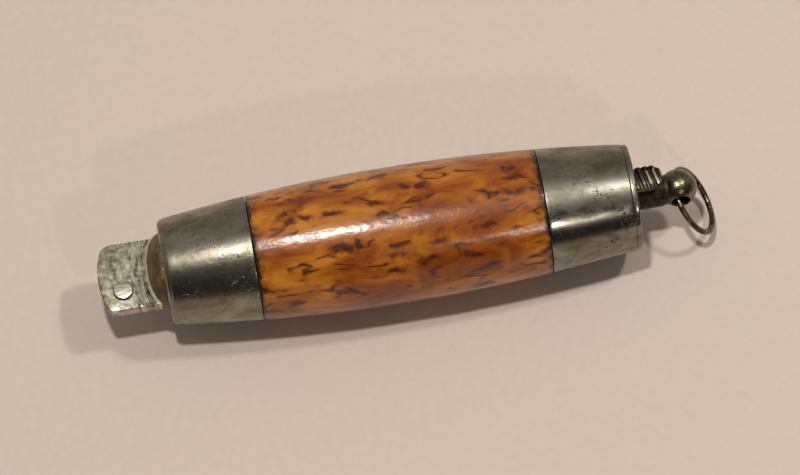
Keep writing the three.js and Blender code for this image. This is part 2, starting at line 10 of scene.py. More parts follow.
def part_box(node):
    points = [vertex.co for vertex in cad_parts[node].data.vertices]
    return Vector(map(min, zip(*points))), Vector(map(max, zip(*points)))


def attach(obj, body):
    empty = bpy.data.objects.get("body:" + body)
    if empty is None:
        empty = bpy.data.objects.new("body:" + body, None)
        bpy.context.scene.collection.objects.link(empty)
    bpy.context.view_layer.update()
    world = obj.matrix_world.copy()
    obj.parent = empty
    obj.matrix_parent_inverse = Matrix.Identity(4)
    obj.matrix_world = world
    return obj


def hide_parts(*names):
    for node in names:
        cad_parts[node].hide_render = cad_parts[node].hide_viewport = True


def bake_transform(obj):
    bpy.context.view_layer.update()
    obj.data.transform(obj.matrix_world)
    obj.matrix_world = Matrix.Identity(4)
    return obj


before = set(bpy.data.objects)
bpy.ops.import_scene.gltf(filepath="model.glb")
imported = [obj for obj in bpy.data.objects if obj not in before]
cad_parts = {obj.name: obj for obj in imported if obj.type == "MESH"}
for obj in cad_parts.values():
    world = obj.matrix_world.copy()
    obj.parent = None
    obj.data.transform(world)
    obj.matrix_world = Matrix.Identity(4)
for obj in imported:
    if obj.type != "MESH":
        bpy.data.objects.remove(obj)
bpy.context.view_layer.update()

# ---------------------------------------------------------------------------------------------
# Sizes, in mm. Pieces are built in mm and scaled once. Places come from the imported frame.
# ---------------------------------------------------------------------------------------------
MM = 0.001


def edges(node):
    """A CAD node's lowest and highest corners, in mm."""
    low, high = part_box(node)
    return low / MM, high / MM


WOOD_LOW, WOOD_HIGH = edges("wood_barrel")
AXIS_Z = (WOOD_LOW.z + WOOD_HIGH.z) / 2
RADIUS = (WOOD_HIGH.z - WOOD_LOW.z) / 2
FRONT_LOW, FRONT_HIGH = edges("front_ferrule")
REAR_LOW, REAR_HIGH = edges("rear_ferrule")
PLATE_LOW, PLATE_HIGH = edges("rear_end_plate")
MOUTH_X, FRONT_EDGE = FRONT_LOW.x, FRONT_HIGH.x
REAR_EDGE, SEAM_X = REAR_LOW.x, REAR_HIGH.x
END_X = PLATE_HIGH.x

FIT_GAP = 0.15  # between the wood and the ferrules
BAND = 6.0  # half-length of the barrel's straight middle
BULGE = (RADIUS - (REAR_HIGH.z - REAR_LOW.z) / 2) / (REAR_EDGE**2 - BAND**2)
BORE_RADIUS = 8.2
MOUTH_RADIUS = 8.0
MOUTH_LIP = 1.3
FERRULE_WALL = 1.0
SEGMENTS = 144
CORNER_TURN = 25  # degrees, and an outline that turns less is left as it is
SHARP_ANGLE = math.radians(38)  # an edge that folds less is shaded smooth


def barrel_radius(x):
    return RADIUS - BULGE * (max(abs(x), BAND) ** 2 - BAND**2)


# ---------------------------------------------------------------------------------------------
# Mesh tools
# ---------------------------------------------------------------------------------------------
def arc(x, y, radius, start, end, steps):
    """Points on a round arc, with its angles in degrees."""
    angles = [math.radians(start + (end - start) * i / steps) for i in range(steps + 1)]
    return [(x + radius * math.cos(a), y + radius * math.sin(a)) for a in angles]


def bend(start, control, end, steps=10):
    """Points on a quadratic curve, without its first."""
    places = [(i + 1) / steps for i in range(steps)]
    return [
        tuple(
            (1 - t) ** 2 * a + 2 * t * (1 - t) * b + t * t * c
            for a, b, c in zip(start, control, end)
        )
        for t in places
    ]


def eased(points, radius, steps=3):
    """A closed outline with each sharp corner cut back by radius and rounded."""
    made = []
    count = len(points)
    for i, point in enumerate(points):
        here = Vector(point)
        back = Vector(points[i - 1]) - here
        on = Vector(points[(i + 1) % count]) - here
        turn = math.degrees(math.pi - back.angle(on, math.pi))
        if turn < CORNER_TURN:
            made.append(tuple(here))
            continue
        room = min(radius, back.length * 0.45, on.length * 0.45)
        start, end = here + back.normalized() * room, here + on.normalized() * room
        made += [tuple(start), *bend(start, here, end, steps)]
    return made


def new_object(name, mesh_data):
    mesh = bpy.data.meshes.new(name)
    mesh_data.to_mesh(mesh)
    mesh_data.free()
    made = bpy.data.objects.new(name, mesh)
    bpy.context.scene.collection.objects.link(made)
    return made


# A lathe turns its outline about X, and one of these moves the solid to its own axis.
TURNED_ABOUT = {
    "x": Matrix.Identity(4),
    "y": Matrix.Rotation(math.pi / 2, 4, "Z"),
    "z": Matrix.Rotation(-math.pi / 2, 4, "Y"),
}
# A prism's outline in X and Y is raised along Z. "x" makes it an outline in Y and Z raised along
# X, and "y" one in X and Z laid along Y.
RAISED_ALONG = {
    "x": Matrix(((0, 0, 1, 0), (1, 0, 0, 0), (0, 1, 0, 0), (0, 0, 0, 1))),
    "y": Matrix(((1, 0, 0, 0), (0, 0, 1, 0), (0, 1, 0, 0), (0, 0, 0, 1))),
    "z": Matrix.Identity(4),
}


def lathe(name, outline, axis="x", centre=(0, 0, 0), segments=SEGMENTS):
    """A closed outline of (along, radius) points turned about an axis through centre."""
    build = bmesh.new()
    angles = [2 * math.pi * i / segments for i in range(segments)]
    turns = [(math.cos(a), math.sin(a)) for a in angles]
    rings = []
    for along, radius in outline:
        if radius < 1e-6:
            rings.append([build.verts.new((along, 0, 0))])
        else:
            rings.append([build.verts.new((along, radius * c, radius * s)) for c, s in turns])
    for i, ring in enumerate(rings):
        after = rings[(i + 1) % len(rings)]
        if len(ring) == 1 and len(after) == 1:
            continue
        for j in range(segments):
            k = (j + 1) % segments
            corners = [ring[j % len(ring)], ring[k % len(ring)]]
            corners += [after[k % len(after)], after[j % len(after)]]
            build.faces.new(list(dict.fromkeys(corners)))
    build.transform(Matrix.Translation(centre) @ TURNED_ABOUT[axis])
    bmesh.ops.recalc_face_normals(build, faces=build.faces)
    return new_object(name, build)


def prism(name, outline, low, high, along="z"):
    """A closed outline raised from low to high along an axis."""
    build = bmesh.new()
    bottom = [build.verts.new((x, y, low)) for x, y in outline]
    top = [build.verts.new((x, y, high)) for x, y in outline]
    build.faces.new(bottom[::-1])
    build.faces.new(top)
    for i in range(len(outline)):
        k = (i + 1) % len(outline)
        build.faces.new([bottom[i], bottom[k], top[k], top[i]])
    build.transform(RAISED_ALONG[along])
    bmesh.ops.recalc_face_normals(build, faces=build.faces)
    return new_object(name, build)


def slab(name, low, high):
    """A plain block between two corners, to cut with or to join on."""
    outline = [(low[0], low[1]), (high[0], low[1]), (high[0], high[1]), (low[0], high[1])]
    return prism(name, outline, low[2], high[2])


def apply(piece):
    """Makes a piece's modifiers part of its mesh."""
    graph = bpy.context.evaluated_depsgraph_get()
    made = bpy.data.meshes.new_from_object(piece.evaluated_get(graph))
    piece.modifiers.clear()
    piece.data = made


def combine(piece, other, operation="DIFFERENCE"):
    """Cuts the other solid out of a piece, or joins it on, and removes the other one."""
    step = piece.modifiers.new("step", "BOOLEAN")
    step.operation, step.object, step.solver = operation, other, "EXACT"
    bpy.context.view_layer.update()
    apply(piece)
    bpy.data.objects.remove(other)
    return piece


def drill(piece, radius, axis, centre, segments=64):
    """Cuts a round hole right through a piece."""
    reach = 5
    outline = [(-reach, 0), (-reach, radius), (reach, radius), (reach, 0)]
    return combine(piece, lathe("hole", outline, axis, centre, segments))


def soften(piece, width, segments=2, angle=32):
    """Rounds a piece's sharp edges."""
    step = piece.modifiers.new("soften", "BEVEL")
    step.width, step.segments = width, segments
    step.limit_method, step.angle_limit = "ANGLE", math.radians(angle)
    step.use_clamp_overlap = True
    bpy.context.view_layer.update()
    apply(piece)
    return piece


def place(piece, material, body, node):
    """Scales a finished piece to metres, paints it and lets it ride in its CAD node's place."""
    piece.data.transform(Matrix.Scale(MM, 4))
    piece.data.shade_smooth()
    piece.data.set_sharp_from_angle(angle=SHARP_ANGLE)
    piece.data.materials.clear()
    piece.data.materials.append(material)
    if body:
        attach(piece, body)
    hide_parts(node)
    return piece


# ---------------------------------------------------------------------------------------------
# Material tools
# ---------------------------------------------------------------------------------------------
def colour(red, green, blue):
    """A colour as seen, from 0 to 255, as a linear one."""
    parts = [c / 255 for c in (red, green, blue)]
    linear = [c / 12.92 if c <= 0.04045 else ((c + 0.055) / 1.055) ** 2.4 for c in parts]
    return (*linear, 1)


class Finish:
    """A procedural material. Its coordinates are the piece's own, in mm."""

    def __init__(self, name, **fixed):
        self.material = bpy.data.materials.new(name)
        self.material.use_nodes = True
        self.nodes = self.material.node_tree.nodes
        self.links = self.material.node_tree.links
        self.shader = self.nodes["Principled BSDF"]
        for socket, value in fixed.items():
            self.shader.inputs[socket.replace("_", " ")].default_value = value
        coordinates = self.nodes.new("ShaderNodeTexCoord")
        self.own = coordinates.outputs["Object"]

    def node(self, kind, inputs, **settings):
        made = self.nodes.new(kind)
        for name, value in settings.items():
            setattr(made, name, value)
        for key, value in inputs.items():
            if isinstance(value, bpy.types.NodeSocket):
                self.links.new(value, made.inputs[key])
            elif value is not None:
                made.inputs[key].default_value = value
        return made

    def space(self, stretch=(1, 1, 1), turn=0.0, move=(0, 0, 0)):
        """The coordinates in mm, turned about Z and moved, then each divided by its stretch."""
        mm = self.node("ShaderNodeMapping", {"Vector": self.own, "Scale": (1 / MM,) * 3})
        out = mm.outputs[0]
        if turn or any(move):
            turned = {"Vector": out, "Rotation": (0, 0, turn), "Location": move}
            out = self.node("ShaderNodeMapping", turned).outputs[0]
        scale = tuple(1 / s for s in stretch)
        return self.node("ShaderNodeMapping", {"Vector": out, "Scale": scale}).outputs[0]

    def noise(self, space, size, detail, rough=0.5, warp=0.0):
        inputs = {"Vector": space, "Scale": 1 / size, "Detail": detail}
        inputs |= {"Roughness": rough, "Distortion": warp}
        return self.node("ShaderNodeTexNoise", inputs).outputs["Fac"]

    def warped(self, space, size, amount):
        """The coordinates moved about by a smooth noise."""
        wander = self.node("ShaderNodeTexNoise", {"Vector": space, "Scale": 1 / size})
        inputs = {0: wander.outputs["Color"], 1: (0.5, 0.5, 0.5)}
        centred = self.node("ShaderNodeVectorMath", inputs, operation="SUBTRACT")
        inputs = {0: centred.outputs[0], 1: (amount,) * 3, 2: space}
        return self.node("ShaderNodeVectorMath", inputs, operation="MULTIPLY_ADD").outputs[0]

    def cells(self, space, size):
        """The distance to scattered points, and a random value for each."""
        made = self.node("ShaderNodeTexVoronoi", {"Vector": space, "Scale": 1 / size})
        random = self.node("ShaderNodeSeparateColor", {"Color": made.outputs["Color"]})
        return made.outputs["Distance"], random.outputs[0]

    def ramp(self, value, *stops):
        made = self.node("ShaderNodeValToRGB", {"Fac": value})
        points = made.color_ramp.elements
        while len(points) < len(stops):
            points.new(0.5)
        for point, (position, shade) in zip(points, stops):
            point.position, point.color = position, shade
        return made.outputs["Color"]

    def mix(self, share, first, second):
        # A mix node's sockets are numbered here, because its colour sockets share their names.
        inputs = {0: share, 6: first, 7: second}
        return self.node("ShaderNodeMix", inputs, data_type="RGBA").outputs[2]

    def math(self, operation, first, second=None):
        return self.node("ShaderNodeMath", {0: first, 1: second}, operation=operation).outputs[0]

    def span(self, value, low, high, first=0.0, last=1.0):
        """Value from low to high, as first to last, and flat outside."""
        inputs = {"Value": value, "From Min": low, "From Max": high}
        inputs |= {"To Min": first, "To Max": last}
        made = self.node("ShaderNodeMapRange", inputs, interpolation_type="SMOOTHSTEP")
        return made.outputs[0]

    def parts(self, space):
        return self.node("ShaderNodeSeparateXYZ", {0: space}).outputs

    def bump(self, height, depth, below=None):
        """Relief of that depth in mm, on top of another relief."""
        inputs = {"Height": height, "Distance": depth * MM, "Normal": below}
        return self.node("ShaderNodeBump", inputs).outputs[0]

    def done(self, **outputs):
        for socket, output in outputs.items():
            self.links.new(output, self.shader.inputs[socket.replace("_", " ")])
        return self.material


# ---------------------------------------------------------------------------------------------
# Materials
# ---------------------------------------------------------------------------------------------
def curly_birch():
    """Amber varnished birch with short dark curls and flecks, mostly along the barrel."""
    f = Finish("curly_birch", Metallic=0, Coat_Weight=0.75, Coat_Roughness=0.21, Coat_IOR=1.48,
               Specular_IOR_Level=0.12)
    plain = f.space()
    clouds = f.noise(f.space((2.0, 1, 1)), 6, 3, 0.55, 0.8)
    base = f.ramp(
        clouds,
        (0.3, colour(116, 50, 7)),
        (0.42, colour(146, 75, 13)),
        (0.54, colour(172, 100, 24)),
        (0.7, colour(198, 128, 42)),
    )
    grain = f.noise(f.space((10, 0.9, 0.9)), 0.45, 3, 0.6, 0.4)
    base = f.mix(f.span(grain, 0.5, 0.75, 0, 0.3), base, colour(104, 44, 8))
    wavy = f.warped(plain, 5, 4.5)
    marks = f.node("ShaderNodeMapping", {"Vector": wavy, "Scale": (0.34, 1, 1)}).outputs[0]
    distance, random = f.cells(marks, 3.0)
    ragged = f.math("ADD", distance, f.span(f.noise(plain, 1.1, 2), 0.3, 0.7, -0.05, 0.05))
    present = f.span(random, 0.4, 0.5)
    halo = f.math("MULTIPLY", f.span(ragged, 0.16, 0.42, 0.85, 0), present)
    core = f.math("MULTIPLY", f.span(ragged, 0.05, 0.27, 0.88, 0), present)
    level = f.noise(f.space((2.6, 1, 1), move=(4, 8, 2)), 3.6, 1.5, 0.5, 0.7)
    off_line = f.math("ABSOLUTE", f.math("SUBTRACT", level, 0.5))
    patch = f.noise(f.space((2.0, 1, 1), move=(1, 3, 9)), 2.6, 1)
    curls = f.math("MULTIPLY", f.span(off_line, 0.002, 0.042, 0.88, 0), f.span(patch, 0.54, 0.62))
    curl_halo = f.math("MULTIPLY", f.span(off_line, 0.02, 0.1, 0.6, 0), f.span(patch, 0.5, 0.62))
    base = f.mix(f.math("MAXIMUM", halo, curl_halo), base, colour(104, 42, 12))
    base = f.mix(f.math("MAXIMUM", core, curls), base, colour(64, 26, 11))
    x, _, _ = f.parts(plain)
    to_front = f.math("SUBTRACT", x, FRONT_EDGE)
    to_rear = f.math("SUBTRACT", REAR_EDGE, x)
    to_joint = f.math("MINIMUM", to_front, to_rear)
    stain = f.math("ADD", to_joint, f.span(f.noise(plain, 2.2, 3), 0.3, 0.7, -1.6, 1.6))
    base = f.mix(f.span(stain, -0.4, 2.2, 0.6, 0), base, colour(78, 34, 12))
    frayed = f.math("ADD", to_joint, f.span(f.noise(plain, 1.4, 3), 0.3, 0.7, -0.3, 0.3))
    base = f.mix(f.span(frayed, 0.3, 1.0, 0.92, 0), base, colour(26, 15, 9))
    dents = f.noise(f.space((1.6, 1, 1)), 1.7, 2.5, 0.55)
    relief = f.bump(f.span(dents, 0.3, 0.7), 0.02)
    roughness = f.span(f.noise(plain, 3, 3), 0.3, 0.7, 0.34, 0.46)
    return f.done(Base_Color=base, Roughness=roughness, Normal=relief, Coat_Normal=relief)


def thumb_painted_shade(f, plain):
    """Painted shade in the grooves, beside the end plate and toward the thumb piece's two sides."""
    x, y, z = f.parts(plain)
    half = (CATCH_HIGH.y - CATCH_LOW.y) / 2
    middle = (CATCH_HIGH.y + CATCH_LOW.y) / 2
    furrow_z = CATCH_HIGH.z - 0.34
    # Painted shade: the grooves between the crests are darkened.
    furrows = f.span(z, furrow_z, furrow_z + 0.36, 0.88, 0)
    # Painted shadow beside the end plate, where the thumb piece comes out of its slot.
    by_plate = f.span(x, END_X + 1.4, END_X + 2.8, 0.85, 0)
    # Painted shade toward both sides, so only the middle of the crests looks lit.
    off_middle = f.math("ABSOLUTE", f.math("SUBTRACT", y, middle))
    off_middle = f.math("ADD", off_middle, f.span(f.noise(plain, 0.8, 2), 0.3, 0.7, -0.6, 0.6))
    sides = f.span(off_middle, half * 0.5, half * 0.8, 0, 0.93)
    return f.math("MAXIMUM", f.math("MAXIMUM", furrows, by_plate), sides)


def worn_steel(name, light, dark, tint, rough, pitting, hammering=0.022, rubbed=None, painted_shade=None):
    """Old steel: patches of patina, clustered pits and fine scratches. Where Y is below rubbed it
    is smoother, and the last argument, a function, gives the share of painted shade that darkens
    it."""
    f = Finish(name, Metallic=1)
    plain = f.space()
    patches = f.noise(f.space((1.6, 1, 1)), 5, 5, 0.62, 0.4)
    base = f.ramp(patches, (0.35, dark), (0.62, light))
    veil = f.span(f.noise(f.space(move=(9, 4, 2)), 3.2, 4, 0.6), 0.46, 0.68, 0, 0.55)
    base = f.mix(veil, base, tint)
    # Painted shade: where the given mask says so, the steel is darkened to a shade colour.
    if painted_shade:
        base = f.mix(painted_shade(f, plain), base, colour(40, 32, 25))
    scratches = f.noise(f.space((16, 0.5, 0.5), turn=0.35), 0.45, 2, 0.6)
    crossing = f.noise(f.space((12, 0.4, 0.4), turn=-0.8), 0.5, 2, 0.6)
    lines = f.math("MAXIMUM", f.span(scratches, 0.6, 0.72), f.span(crossing, 0.64, 0.74))
    base = f.mix(f.math("MULTIPLY", lines, 0.22), base, colour(70, 68, 60))
    clusters = f.span(f.noise(f.space(move=(5, 1, 3)), 4.5, 2), 0.46, 0.62, 0.0, 0.085 * pitting)
    specks = f.math("ADD", f.noise(f.space((1.4, 1, 1)), 0.5, 5, 0.72), clusters)
    pits = f.span(specks, 0.665, 0.73)
    base = f.mix(f.math("MULTIPLY", pits, 0.9), base, colour(52, 45, 36))
    roughness = f.span(patches, 0.35, 0.65, rough + 0.1, rough)
    if rubbed is not None:
        _, y, _ = f.parts(plain)
        side = f.math("ADD", y, f.span(f.noise(plain, 2.5, 4), 0.3, 0.7, -0.9, 0.9))
        smoother = f.span(side, rubbed - 0.8, rubbed + 0.8, 0.13, 0)
        roughness = f.math("SUBTRACT", roughness, smoother)
    roughness = f.math("MAXIMUM", roughness, f.math("MULTIPLY", pits, 0.62))
    hammered = f.bump(f.noise(f.space((1.5, 1, 1)), 0.9, 4, 0.6), hammering)
    relief = f.bump(f.math("ADD", f.math("MULTIPLY", lines, 0.12), pits), -0.03, hammered)
    return f.done(Base_Color=base, Roughness=roughness, Normal=relief)


def stud_metal():
    """Rust-brown steel, polished by wear on the ball."""
    f = Finish("stud_metal", Metallic=1)
    plain = f.space()
    x, _, _ = f.parts(plain)
    ball = f.span(f.math("ADD", x, f.noise(plain, 1.2, 3)), STUD_NECK_X, STUD_NECK_X + 1.6)
    rust = f.ramp(
        f.noise(plain, 0.9, 6, 0.7),
        (0.35, colour(38, 29, 21)),
        (0.52, colour(60, 48, 36)),
        (0.66, colour(92, 80, 62)),
    )
    worn = f.ramp(
        f.noise(plain, 1.7, 4, 0.6), (0.36, colour(88, 80, 61)), (0.62, colour(134, 128, 104))
    )
    pits = f.span(f.noise(plain, 0.5, 4, 0.7), 0.62, 0.7)
    base = f.mix(f.math("MULTIPLY", pits, 0.7), f.mix(ball, rust, worn), colour(42, 32, 24))
    roughness = f.math("ADD", f.span(ball, 0, 1, 0.5, 0.27), f.math("MULTIPLY", pits, 0.2))
    relief = f.bump(f.noise(plain, 0.7, 5, 0.65), 0.05)
    return f.done(Base_Color=base, Roughness=roughness, Normal=relief)


def ring_metal():
    """Dark drawn wire, brighter where it rubs."""
    f = Finish("ring_metal", Metallic=1)
    plain = f.space()
    base = f.ramp(
        f.noise(plain, 1.6, 5, 0.65),
        (0.36, colour(56, 52, 44)),
        (0.5, colour(88, 84, 72)),
        (0.66, colour(124, 120, 106)),
    )
    roughness = f.span(f.noise(plain, 0.8, 4), 0.35, 0.65, 0.2, 0.42)
    return f.done(Base_Color=base, Roughness=roughness, Normal=f.bump(f.noise(plain, 0.5, 4), 0.03))


def head_casting():
    """Grey nickel silver with golden turning marks around a dark, brassy dome, and a painted
    highlight along the dome's edge.
    """
    f = Finish("head_casting", Metallic=1)
    plain = f.space()
    x, y, z = f.parts(plain)
    out = f.math("DIVIDE", f.math("SUBTRACT", x, MOUTH_X), DOME_RISE)
    side = f.math("DIVIDE", y, COLLAR_RADIUS)
    height = f.math("DIVIDE", f.math("SUBTRACT", z, AXIS_Z), COLLAR_RADIUS)
    squares = [f.math("MULTIPLY", part, part) for part in (out, side, height)]
    reach = f.math("SQRT", f.math("ADD", f.math("ADD", squares[0], squares[1]), squares[2]))
    grey = f.ramp(
        f.noise(plain, 1.5, 5, 0.65),
        (0.34, colour(104, 99, 80)),
        (0.5, colour(172, 168, 150)),
        (0.68, colour(222, 219, 205)),
    )
    turning = {0: f.math("MULTIPLY", reach, 6.0), 1: f.math("MULTIPLY", y, 0.3), 2: 0.0}
    marks = f.node("ShaderNodeCombineXYZ", turning).outputs[0]
    streak = f.noise(f.warped(marks, 2, 2.0), 1.0, 7, 0.78)
    near = f.span(f.math("ADD", reach, f.noise(plain, 2.0, 2)), 1.9, 3.3, 1, 0)
    golden = f.math("MULTIPLY", f.span(streak, 0.5, 0.6), near)
    furrow = f.math("MULTIPLY", f.span(streak, 0.38, 0.49, 1, 0), near)
    base = f.mix(f.math("MULTIPLY", golden, 0.85), grey, colour(236, 226, 196))
    base = f.mix(f.math("MULTIPLY", furrow, 0.85), base, colour(46, 34, 17))
    dome = f.span(reach, 1.0, 1.06, 1, 0)
    brass = f.ramp(
        f.noise(f.space(move=(2, 5, 1)), 3.4, 4, 0.6),
        (0.36, colour(64, 50, 28)),
        (0.5, colour(108, 86, 46)),
        (0.66, colour(138, 114, 66)),
    )
    base = f.mix(dome, base, brass)
    # Painted highlight: a bright thin line on the tab along the dome's edge.
    painted_edge_highlight = f.math("MULTIPLY", f.span(reach, 0.99, 1.03), f.span(reach, 1.06, 1.12, 1, 0))
    base = f.mix(painted_edge_highlight, base, colour(222, 212, 184))
    pits = f.span(f.noise(plain, 0.6, 5, 0.7), 0.62, 0.69)
    base = f.mix(f.math("MULTIPLY", pits, 0.75), base, colour(50, 44, 32))
    roughness = f.math("SUBTRACT", f.span(dome, 0, 1, 0.38, 0.42), f.math("MULTIPLY", golden, 0.08))
    relief = f.bump(f.math("SUBTRACT", golden, f.math("ADD", furrow, pits)), 0.05)
    return f.done(Base_Color=base, Roughness=roughness, Normal=relief)


def brushed_steel(name, light, dark, stretch, rough, depth=0.012):
    """Clean steel with fine parallel marks and a few dark specks."""
    f = Finish(name, Metallic=1)
    plain = f.space()
    marks = f.noise(f.space(stretch), 0.5, 3, 0.6)
    base = f.ramp(marks, (0.36, dark), (0.6, light))
    specks = f.span(f.noise(plain, 0.9, 5, 0.7), 0.64, 0.72, 0, 0.6)
    base = f.mix(specks, base, colour(84, 72, 56))
    roughness = f.span(marks, 0.3, 0.7, rough + 0.08, rough)
    return f.done(Base_Color=base, Roughness=roughness, Normal=f.bump(marks, depth))


def paper():
    """Pale matt paper with a faint tooth."""
    f = Finish("paper", Roughness=0.9, Specular_IOR_Level=0.2)
    tone = f.noise(f.space(), 1.6, 4)
    base = f.ramp(tone, (0.3, colour(213, 198, 188)), (0.7, colour(217, 202, 192)))
    return f.done(Base_Color=base, Normal=f.bump(tone, 0.01))


# ---------------------------------------------------------------------------------------------
# Camera, light and floor
# ---------------------------------------------------------------------------------------------
CAMERA_DISTANCE = 1.0
CAMERA_AZIMUTH = math.radians(-5.323)
CAMERA_ELEVATION = math.radians(67.0)
CAMERA_ROLL = math.radians(-4.322)
LENS = 230.6
SENSOR = 36.0
FRAMING = (0.00144, -0.00358)
LAMP_DISTANCE = 0.9
LAMP_TINT = (1.0, 0.955, 0.91)
# The room's light from the near side to the far side: share of the way, and colour.
ROOM_SHADES = (
    (0.12, (0.03, 0.029, 0.026, 1)),
    (0.33, (0.1, 0.094, 0.083, 1)),
    (0.5, (0.25, 0.238, 0.21, 1)),
    (0.66, (0.34, 0.32, 0.28, 1)),
)


def camera_axes():
    """The camera's right, up and backward directions."""
    flat = math.cos(CAMERA_ELEVATION)
    sideways, forward = math.sin(CAMERA_AZIMUTH) * flat, math.cos(CAMERA_AZIMUTH) * flat
    back = Vector((sideways, -forward, math.sin(CAMERA_ELEVATION)))
    level = Vector((0, 0, 1)).cross(back).normalized()
    upright = back.cross(level)
    right = math.cos(CAMERA_ROLL) * level + math.sin(CAMERA_ROLL) * upright
    return right, back.cross(right), back


def add_camera():
    right, up, back = camera_axes()
    data = bpy.data.cameras.new("camera")
    data.lens, data.sensor_width = LENS, SENSOR
    data.shift_x, data.shift_y = FRAMING
    data.clip_start, data.clip_end = 0.05, 20
    made = bpy.data.objects.new("camera", data)
    bpy.context.scene.collection.objects.link(made)
    axes = Matrix((right, up, back)).transposed().to_4x4()
    target = Vector((0, 0, AXIS_Z * MM))
    made.matrix_world = Matrix.Translation(target + back * CAMERA_DISTANCE) @ axes
    bpy.context.scene.camera = made


def add_lamp(name, sideways, upward, size, power):
    """A square lamp that shines on the knife, placed by angles off the camera's direction."""
    right, up, back = camera_axes()
    direction = (
        back + right * math.tan(math.radians(sideways)) + up * math.tan(math.radians(upward))
    ).normalized()
    data = bpy.data.lights.new(name, "AREA")
    data.size, data.energy, data.color = size, power, LAMP_TINT
    made = bpy.data.objects.new(name, data)
    bpy.context.scene.collection.objects.link(made)
    made.location = direction * LAMP_DISTANCE
    made.rotation_euler = direction.to_track_quat("Z", "Y").to_euler()


def add_room():
    """A soft room: light above and on the far side, dark on the near side."""
    world = bpy.data.worlds.new("room")
    world.use_nodes = True
    nodes, links = world.node_tree.nodes, world.node_tree.links
    direction = nodes.new("ShaderNodeTexCoord")
    split = nodes.new("ShaderNodeSeparateXYZ")
    share = nodes.new("ShaderNodeMapRange")
    share.inputs["From Min"].default_value = -1
    shade = nodes.new("ShaderNodeValToRGB")
    links.new(direction.outputs["Generated"], split.inputs["Vector"])
    links.new(split.outputs["Y"], share.inputs["Value"])
    links.new(share.outputs["Result"], shade.inputs["Fac"])
    links.new(shade.outputs["Color"], nodes["Background"].inputs["Color"])
    stops = shade.color_ramp.elements
    stops.remove(stops[1])
    stops[0].position, stops[0].color = ROOM_SHADES[0]
    for position, grey in ROOM_SHADES[1:]:
        stops.new(position).color = grey
    nodes["Background"].inputs["Strength"].default_value = 1.0
    bpy.context.scene.world = world


def add_floor():
    build = bmesh.new()
    bmesh.ops.create_grid(build, x_segments=4, y_segments=4, size=2.5)
    floor = new_object("floor", build)
    floor.data.materials.append(paper())


# ---------------------------------------------------------------------------------------------
# Barrel
# ---------------------------------------------------------------------------------------------
def barrel_curve(start, end, inset=0.0, steps=24):
    """Points (along, radius) on the barrel's outline, or inset from it."""
    places = [start + (end - start) * i / steps for i in range(steps + 1)]
    return [(x, barrel_radius(x) - inset) for x in places]


def wood_barrel():
    inset = FERRULE_WALL + FIT_GAP
    front_joint, rear_joint = FRONT_EDGE + FIT_GAP, REAR_EDGE - FIT_GAP
    outline = [
        (WOOD_LOW.x, BORE_RADIUS),
        *barrel_curve(WOOD_LOW.x, front_joint, inset),
        *barrel_curve(front_joint, rear_joint, 0, 72),
        *barrel_curve(rear_joint, WOOD_HIGH.x, inset),
        (WOOD_HIGH.x, BORE_RADIUS),
    ]
    return lathe("wood_barrel_turned", eased(outline, 0.14), centre=(0, 0, AXIS_Z))


def front_ferrule():
    """A thin tube with a rounded, turned-in mouth."""
    outer_round, inner_round = 1.0, 0.35
    rim = barrel_radius(MOUTH_X) - outer_round
    inner = MOUTH_X + MOUTH_LIP
    outline = [
        *barrel_curve(MOUTH_X + outer_round, FRONT_EDGE),
        *barrel_curve(inner, FRONT_EDGE, FERRULE_WALL)[::-1],
        (inner, MOUTH_RADIUS + 0.1),
        *arc(MOUTH_X + inner_round, MOUTH_RADIUS + inner_round, inner_round, 270, 180, 4),
        *arc(MOUTH_X + outer_round, rim, outer_round, 180, 96, 8),
    ]
    return lathe("front_ferrule_turned", eased(outline, 0.12), centre=(0, 0, AXIS_Z))


def rear_ferrule():
    outline = [
        *barrel_curve(REAR_EDGE, SEAM_X),
        *barrel_curve(REAR_EDGE, SEAM_X, FERRULE_WALL)[::-1],
    ]
    return lathe("rear_ferrule_turned", eased(outline, 0.13), centre=(0, 0, AXIS_Z))


def rear_end_plate():
    """A disc with a rounded rim, cut for the stud and for the thumb piece."""
    rim = (PLATE_HIGH.z - PLATE_LOW.z) / 2
    outer_round, inner_round = 0.45, 0.12
    outline = [
        (PLATE_LOW.x, 0),
        *arc(PLATE_LOW.x + inner_round, rim - inner_round, inner_round, 180, 90, 3),
        *arc(END_X - outer_round, rim - outer_round, outer_round, 90, 0, 6),
        (END_X, 0),
    ]
    plate = lathe("rear_end_plate_turned", outline, centre=(0, 0, AXIS_Z))
    drill(plate, SPIGOT_RADIUS + 0.1, "x", (END_X, STUD_Y, AXIS_Z), 48)
    room = 0.3
    south, north = CATCH_LOW.y - room, CATCH_HIGH.y + room
    bottom, top = CATCH_HIGH.z - THUMB_THICKNESS - THUMB_DROP, CATCH_HIGH.z + room
    opening = [(south, bottom), (north, bottom), (north, top), (south, top)]
    slot = prism("slot", eased(opening, 0.4, 4), PLATE_LOW.x - 1, END_X + 1, along="x")
    return soften(combine(plate, slot), 0.1)


# ---------------------------------------------------------------------------------------------
# Swivel end
# ---------------------------------------------------------------------------------------------
STUD_LOW, STUD_HIGH = edges("ball_stud")
STUD_Y = (STUD_LOW.y + STUD_HIGH.y) / 2
STUD_RADIUS = 3.15
SPIGOT_RADIUS = 2.0
HEAD_RADIUS = 2.6
BALL_RADIUS = (STUD_HIGH.z - STUD_LOW.z) / 2
BALL_X = STUD_HIGH.x - BALL_RADIUS
STUD_NECK_X = BALL_X - 2.4
HOLE_RADIUS = 1.5
RING_RADIUS = 6.7
WIRE_RADIUS = 0.6
RING_TILT = math.radians(7)
RING_HANG = math.radians(57.5)


